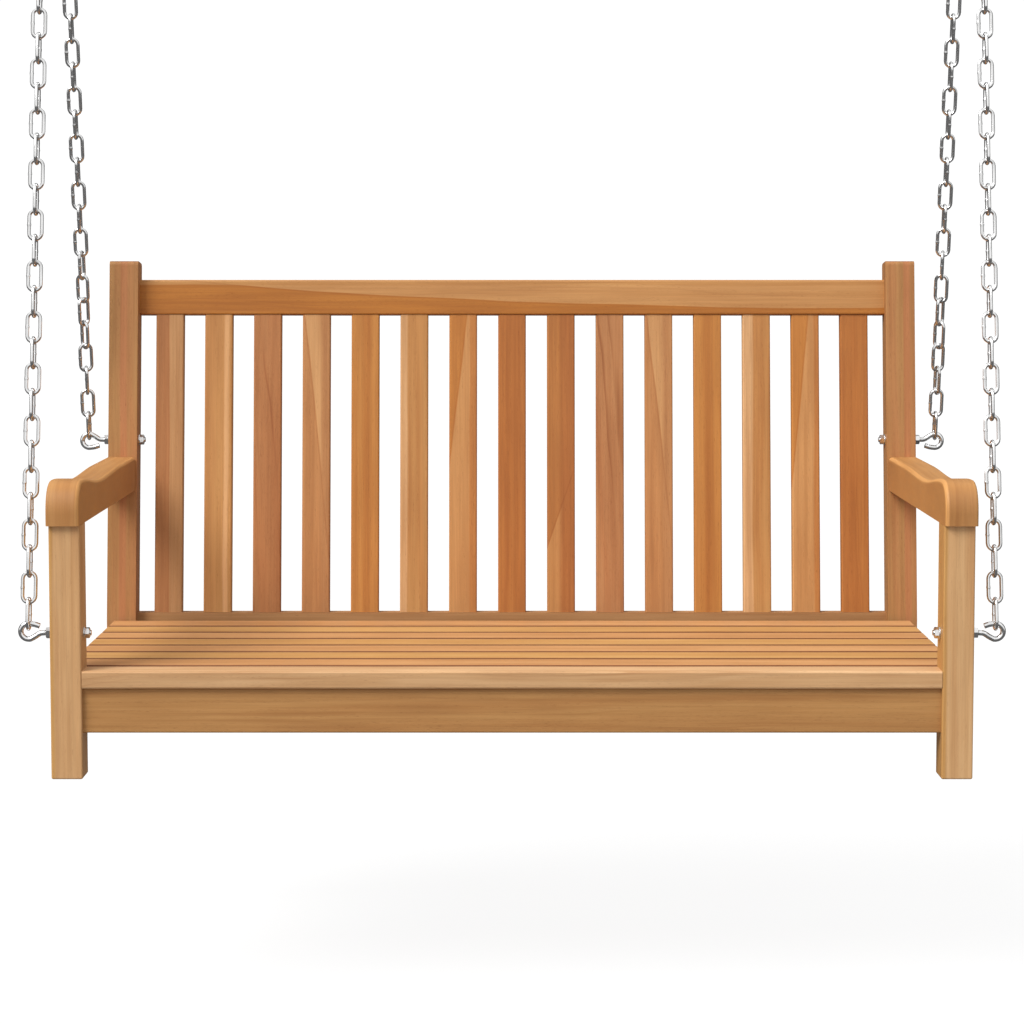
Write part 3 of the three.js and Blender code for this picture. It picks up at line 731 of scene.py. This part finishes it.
def lathe(bm, place, levels, sides, radius, bore):
    """A turned or hexagonal piece along local X. levels: (x, cap) pairs; radius(x, angle, cap); mm."""
    outer, inner = [], []
    for x, cap in levels:
        ring = []
        for k in range(sides):
            a = 2 * math.pi * k / sides
            r = radius(a, cap)
            ring.append(bm.verts.new(place @ (Vector((x, r * math.cos(a), r * math.sin(a))) * MM)))
        outer.append(ring)
    for x in (levels[0][0], levels[-1][0]):
        ring = []
        for k in range(sides):
            a = 2 * math.pi * k / sides
            ring.append(bm.verts.new(place @ (Vector((x, bore * math.cos(a), bore * math.sin(a))) * MM)))
        inner.append(ring)
    loops = [inner[0], *outer, inner[1], inner[0]]
    for a, b in zip(loops, loops[1:]):
        for k in range(sides):
            m = (k + 1) % sides
            bm.faces.new((a[k], a[m], b[m], b[k]))


NUT_FLATS, NUT_HEIGHT, WASHER, WASHER_THICK = 13.0, 6.4, 16.0, 1.6
BOLT_END = 10.0  # rod past the inner face of the wood
THREAD_STEP = 0.18  # along the rod between drawn sections
THREAD_PITCH, THREAD_DEPTH = 1.25, 0.45
NUT_SIDES, WASHER_SIDES = 72, 56
NUT_CHAMFER = math.radians(28)
NUT_FACE = 0.96  # how wide the chamfer leaves a nut's round face, over its flats


def nut(bm, place, flats=NUT_FLATS, height=NUT_HEIGHT, bore=ROD / 2 + 0.2, start=0.0):
    """A hexagon nut with both faces chamfered on a cone."""
    corner = flats / math.sqrt(3)
    slope = math.tan(NUT_CHAMFER)
    rise = (corner - flats / 2 * NUT_FACE) * slope
    levels = []
    steps = 5
    for k in range(steps + 1):
        levels.append((start + rise * k / steps, flats / 2 * NUT_FACE + rise * k / steps / slope))
    for k in range(steps + 1):
        levels.append((start + height - rise + rise * k / steps, corner - rise * k / steps / slope))
    lathe(bm, place, levels, NUT_SIDES, lambda a, cap: min(hexagon(flats, a), cap), bore)


def washer(bm, place):
    edge = [(0.0, WASHER / 2 - 0.35), (0.12, WASHER / 2 - 0.1), (0.4, WASHER / 2)]
    levels = edge + [(WASHER_THICK - x, radius) for x, radius in reversed(edge)]
    lathe(bm, place, levels, WASHER_SIDES, lambda a, cap: cap, ROD / 2 + 0.25)


def catmull(points, count):
    """Points along a centripetal curve through the given ones."""
    points = [points[0] * 2 - points[1], *points, points[-1] * 2 - points[-2]]
    out = []
    for p0, p1, p2, p3 in zip(points, points[1:], points[2:], points[3:]):
        for i in range(count):
            s = i / count
            out.append(
                0.5 * ((2 * p1) + (p2 - p0) * s + (2 * p0 - 5 * p1 + 4 * p2 - p3) * s**2
                       + (3 * p1 - p0 - 3 * p2 + p3) * s**3)
            )
    out.append(points[-2])
    return out


def rod_along(bm, path, radius, place, thread=()):
    """A round rod in the XZ plane through path, mm, threaded between the pairs of distances in thread."""
    centres, normals, radii, run = [], [], [], 0.0
    cut = thread_radius(radius, THREAD_PITCH, THREAD_DEPTH)
    last = len(path) - 1
    for i, point in enumerate(path):
        ahead = (path[min(i + 1, last)] - path[max(i - 1, 0)]).normalized()
        if i:
            run += (point - path[i - 1]).length
        centres.append(point * MM)
        normals.append(Vector((-ahead.z, 0, ahead.x)))
        if any(a <= run <= b for a, b in thread):
            radii.append(lambda angle, run=run: cut(run, angle) * MM)
        else:
            radii.append(radius * MM)
    sweep(bm, centres, normals, [Vector((0, 1, 0))] * len(path), radii, False, ROD_SIDES, place)


def wood_inner(end):
    """The inner face of the wood that a bolt goes through."""
    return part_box(f"inner_nut_{end}_right")[1].x


def eye_bolt(end, name, side):
    """A rod with an open eye in the XZ plane, drawn from the eye's middle along X."""
    def at(x, z):
        return Vector((x, 0, TURN[end] * z))

    start = (wood_inner(end) - EYE_X) / MM - BOLT_END
    straight = -EYE_BEND - 6
    count = int((straight - start) / THREAD_STEP)
    path = [at(start + (straight - start) * k / count, 0) for k in range(count)]
    bent = [at(straight, 0), at(-EYE_BEND, -0.8), at(-EYE_BEND + 6.5, -4.9)]
    for angle in range(-105, 91, 15):
        a = math.radians(angle)
        bent.append(at(EYE_RADIUS * math.cos(a), EYE_RISE + EYE_RADIUS * math.sin(a)))
    bent += [at(-7.5, EYE_RISE + 9.3), at(-14.5, EYE_RISE + 7.1)]
    path += catmull(bent, 4)
    outer = (WOOD_FACE - EYE_X) / MM - start  # the wood's outer face, along the rod
    place = Matrix.Translation(BOLTS[end] + Vector((side * EYE_X, 0, 0))) @ Matrix.Scale(side, 4, (1, 0, 0))
    bm = bmesh.new()
    # threaded under the inner nut and under the outer one
    rod_along(bm, path, ROD / 2, place, thread=[(1.2, 20), (outer - 12, outer + 9.5)])
    steel(bm, f"eye_bolt_rod_{end}_{name}", "bench", f"eye_bolt_{end}_{name}", BOLT_ZINC)


NUT_TILT = {"front_outer": 0.2, "front_inner": 0.75, "rear_outer": 0.45, "rear_inner": 0.1}


def nut_and_washer(end, name, side, where):
    face = WOOD_FACE if where == "outer" else wood_inner(end)
    out = 1 if where == "outer" else -1
    place = Matrix.Translation(BOLTS[end] + Vector((side * face, 0, 0)))
    place = place @ Matrix.Scale(side * out, 4, (1, 0, 0))
    node = f"{where}_nut_{end}_{name}"
    bm = bmesh.new()
    washer(bm, place)
    steel(bm, f"washer_{where}_{end}_{name}", "bench", node, BOLT_ZINC)
    bm = bmesh.new()
    tilt = NUT_TILT[f"{end}_{where}"] + 0.15 * side
    nut(bm, place @ Matrix.Rotation(tilt, 4, "X"), start=WASHER_THICK)
    steel(bm, f"nut_{where}_{end}_{name}", "bench", node, BOLT_ZINC)


for name, side in SIDES:
    for end in ("front", "rear"):
        eye_bolt(end, name, side)
        for where in ("outer", "inner"):
            nut_and_washer(end, name, side, where)


def ring(name):
    bm = bmesh.new()
    count = 72
    turns = [2 * math.pi * k / count for k in range(count)]
    normals = [Vector((0, math.cos(a), math.sin(a))) for a in turns]
    centres = [out * RING_RADIUS * MM for out in normals]
    radii = [RING_WIRE / 2 * MM] * count
    place = Matrix.Translation(apex[name])
    sweep(bm, centres, normals, [Vector((1, 0, 0))] * count, radii, True, ROD_SIDES, place)
    steel(bm, f"hanging_ring_{name}", f"{name}_ring", f"ring_{name}", BOLT_ZINC)


def quick_link(name, side):
    """The connector's oval, and its hexagon sleeve on a short thread."""
    chain_top = REAR_LINKS * PITCH + (WIRE - ROD) / 2 - HANG
    middle = chain_top - (WIRE + QUICK_WIRE) / 2 - HANG + (QUICK_PITCH + QUICK_WIRE) / 2
    place = hanging("rear", name, side) @ Matrix.Translation((0, 0, middle * MM))
    bm = bmesh.new()
    oval(bm, QUICK_WIRE, QUICK_PITCH, QUICK_INNER, place, sides=16, turns=14)
    steel(bm, f"quick_link_oval_{name}", f"{name}_hanger", f"quick_link_{name}", BOLT_ZINC)
    bm = bmesh.new()
    upright = Matrix.Rotation(math.pi / 2, 4, "Y")
    upright = Matrix.Translation(((QUICK_INNER + QUICK_WIRE) / 2 * MM, 0, 0)) @ upright
    nut(bm, place @ upright, QUICK_FLATS, QUICK_SLEEVE, QUICK_WIRE / 2 - 0.1, -QUICK_SLEEVE / 2)
    steel(bm, f"quick_link_sleeve_{name}", f"{name}_hanger", f"quick_link_{name}", BOLT_ZINC)


PLATE_LENGTH, PLATE_WIDTH, PLATE_THICK, HOLE, HOLE_APART = 90.0, 50.0, 5.0, 5.5, 64.0
HOOK_WIRE, HOOK_HALF, HOOK_DROP = 8.0, 9.5, 50.0
HOLE_SIDES, WELD_SIDES = 32, 28


def bracket(name):
    """A plate with rounded corners and two countersunk holes, and a staple welded under it."""
    axis = Vector((apex[name].x, apex[name].y, -HOOK_DROP * MM))
    place = Matrix.Translation(axis)
    path = [Vector((-HOOK_HALF, 0, HOOK_DROP - PLATE_THICK + 1)), Vector((-HOOK_HALF, 0, HOOK_HALF + 4))]
    for angle in range(180, 361, 15):
        a = math.radians(angle)
        path.append(Vector((HOOK_HALF * math.cos(a), 0, HOOK_HALF * (1 + math.sin(a)))))
    path += [Vector((HOOK_HALF, 0, HOOK_HALF + 4)), Vector((HOOK_HALF, 0, HOOK_DROP - PLATE_THICK + 1))]
    bm = bmesh.new()
    rod_along(bm, catmull(path, 3), HOOK_WIRE / 2, place)
    # weld fillets where the staple meets the plate
    for x in (-HOOK_HALF, HOOK_HALF):
        top = HOOK_DROP - PLATE_THICK
        stations = [(top - 3.2, 0.15), (top - 2.2, 0.7), (top - 1.2, 1.5), (top - 0.4, 2.4), (top + 0.8, 3.0)]
        centres = [Vector((x, 0, z)) * MM for z, _ in stations]
        radii = [(HOOK_WIRE / 2 + grow) * MM for _, grow in stations]
        sweep(bm, centres, [Vector((1, 0, 0))] * 5, [Vector((0, 1, 0))] * 5, radii, False, WELD_SIDES, place)
    steel(bm, f"bracket_staple_{name}", "ceiling_brackets", f"ceiling_bracket_{name}", PLATE_ZINC)

    bm = bmesh.new()
    corner, arc = 6.0, 6
    outline = []
    for cx, cy, start in ((1, 1, 0), (-1, 1, 90), (-1, -1, 180), (1, -1, 270)):
        for k in range(arc + 1):
            a = math.radians(start + 90 * k / arc)
            outline.append(Vector((
                cx * (PLATE_LENGTH / 2 - corner) + corner * math.cos(a),
                cy * (PLATE_WIDTH / 2 - corner) + corner * math.sin(a), 0,
            )))
    # levels of the outline (z, inset) and of the holes (z, radius)
    low, high = HOOK_DROP - PLATE_THICK, HOOK_DROP
    outer_levels = [(low, 0.8), (low + 0.25, 0.25), (low + 0.8, 0.0), (high - 0.3, 0.0), (high, 0.3)]
    hole_levels = [(low, HOLE / 2 + 2.3), (low + 2.4, HOLE / 2), (high, HOLE / 2)]
    outer_rings = []
    for z, inset in outer_levels:
        scale_x = (PLATE_LENGTH / 2 - inset) / (PLATE_LENGTH / 2)
        scale_y = (PLATE_WIDTH / 2 - inset) / (PLATE_WIDTH / 2)
        ring_verts = []
        for p in outline:
            ring_verts.append(bm.verts.new(place @ (Vector((p.x * scale_x, p.y * scale_y, z)) * MM)))
        outer_rings.append(ring_verts)
    for a, b in zip(outer_rings, outer_rings[1:]):
        for k in range(len(a)):
            m = (k + 1) % len(a)
            bm.faces.new((a[k], a[m], b[m], b[k]))
    hole_rings = []
    for sign in (1, -1):
        rings = []
        for z, r in hole_levels:
            rings.append([
                bm.verts.new(place @ (Vector((
                    sign * HOLE_APART / 2 + r * math.cos(2 * math.pi * k / HOLE_SIDES),
                    r * math.sin(2 * math.pi * k / HOLE_SIDES), z)) * MM))
                for k in range(HOLE_SIDES)
            ])
        for a, b in zip(rings, rings[1:]):
            for k in range(HOLE_SIDES):
                m = (k + 1) % HOLE_SIDES
                bm.faces.new((a[k], a[m], b[m], b[k]))
        hole_rings.append(rings)
    # the two flat faces, with the holes left open
    for level in (0, -1):
        edges = []
        for loop in (outer_rings[level], *(rings[level] for rings in hole_rings)):
            for k in range(len(loop)):
                edges.append(bm.edges.get((loop[k], loop[(k + 1) % len(loop)])))
        bmesh.ops.triangle_fill(bm, use_beauty=True, edges=edges)
    steel(bm, f"bracket_plate_{name}", "ceiling_brackets", f"ceiling_bracket_{name}", PLATE_ZINC, True)


for name, side in SIDES:
    ring(name)
    quick_link(name, side)
    bracket(name)


# ------------------------------------------------------------------ stage, light and camera

FLOOR = -2.08  # a seat 440 mm over the floor

bm = bmesh.new()
bmesh.ops.create_circle(bm, cap_ends=True, radius=60.0, segments=96)
mesh = bpy.data.meshes.new("floor")
bm.to_mesh(mesh)
bm.free()
floor = bpy.data.objects.new("floor", mesh)
floor.location.z = FLOOR
scene.collection.objects.link(floor)
pale = bpy.data.materials.new("pale_floor")
pale.use_nodes = True
t = Tree(pale.node_tree)
t.tree.nodes.clear()
seen = t.add("ShaderNodeLightPath").outputs["Is Camera Ray"]
mirrored = t.add("ShaderNodeLightPath").outputs["Is Glossy Ray"]
floor_light = t.mix(mirrored, (0.36, 0.35, 0.34, 1.0), (0.12, 0.12, 0.12, 1.0))
bounce = t.add("ShaderNodeBsdfDiffuse", {"Color": floor_light})
paint = t.add("ShaderNodeBsdfDiffuse", {"Color": (0.13, 0.13, 0.13, 1.0)})
glow = t.add("ShaderNodeEmission", {"Color": (1, 1, 1, 1), "Strength": 0.89})
lit = t.add("ShaderNodeAddShader", {0: paint.outputs[0], 1: glow.outputs[0]})
both = t.add("ShaderNodeMixShader", {0: seen, 1: bounce.outputs[0], 2: lit.outputs[0]})
t.add("ShaderNodeOutputMaterial", {"Surface": both.outputs[0]})
mesh.materials.append(pale)

world = bpy.data.worlds.new("studio")
world.use_nodes = True
scene.world = world
t = Tree(world.node_tree)
t.tree.nodes.clear()
ray = t.add("ShaderNodeLightPath").outputs
_, back, up = t.split(t.add("ShaderNodeTexCoord").outputs["Generated"])
sky = t.step(up, -0.2, 0.9, 0.26, 0.62)
window = t.step(back, -0.1, -0.9, 0.0, 0.40)
soft = t.math("ADD", sky, window)
# what shines on steel: white cards in front and above, and a darker room beyond
card = t.math("MAXIMUM", t.step(back, 0.20, -0.50), t.step(up, 0.35, 0.90))
room = t.span(card, 0.0, 1.0, 0.07, 1.10)
around = t.add("ShaderNodeBackground", {"Color": t.join(soft, soft, soft), "Strength": 1.0})
shine = t.add("ShaderNodeBackground", {"Color": t.join(room, room, room), "Strength": 1.0})
backdrop = t.add("ShaderNodeBackground", {"Color": (1, 1, 1, 1), "Strength": 1.05})
both = t.add("ShaderNodeMixShader", {0: ray["Is Glossy Ray"], 1: around.outputs[0], 2: shine.outputs[0]})
both = t.add("ShaderNodeMixShader", {0: ray["Is Camera Ray"], 1: both.outputs[0], 2: backdrop.outputs[0]})
t.add("ShaderNodeOutputWorld", {"Surface": both.outputs[0]})


KEY_FROM = Vector((-0.55, -0.45, 0.72))
FOCAL, PHOTO_WIDTH, SENSOR = 2666, 1024, 36  # focal length and width in pixels, sensor in mm
CAMERA_DOWN = 4.29  # degrees
CAMERA_AT = (0, -3.7612, -1.0913)
key_data = bpy.data.lights.new("key", "SUN")
key_data.energy = 2.9
key_data.angle = math.radians(32)
key = bpy.data.objects.new("key", key_data)
key.rotation_mode = "QUATERNION"
key.rotation_quaternion = KEY_FROM.to_track_quat("Z", "Y")
scene.collection.objects.link(key)

camera_data = bpy.data.cameras.new("camera")
camera = bpy.data.objects.new("camera", camera_data)
scene.collection.objects.link(camera)
scene.camera = camera
camera_data.lens = FOCAL * SENSOR / PHOTO_WIDTH
camera_data.sensor_width = SENSOR
camera_data.shift_y = -0.06
camera.location = CAMERA_AT
camera.rotation_euler = (math.radians(90 - CAMERA_DOWN), 0, 0)
camera_data.clip_end = 200

scene.view_settings.view_transform = "Standard"
scene.view_settings.look = "None"
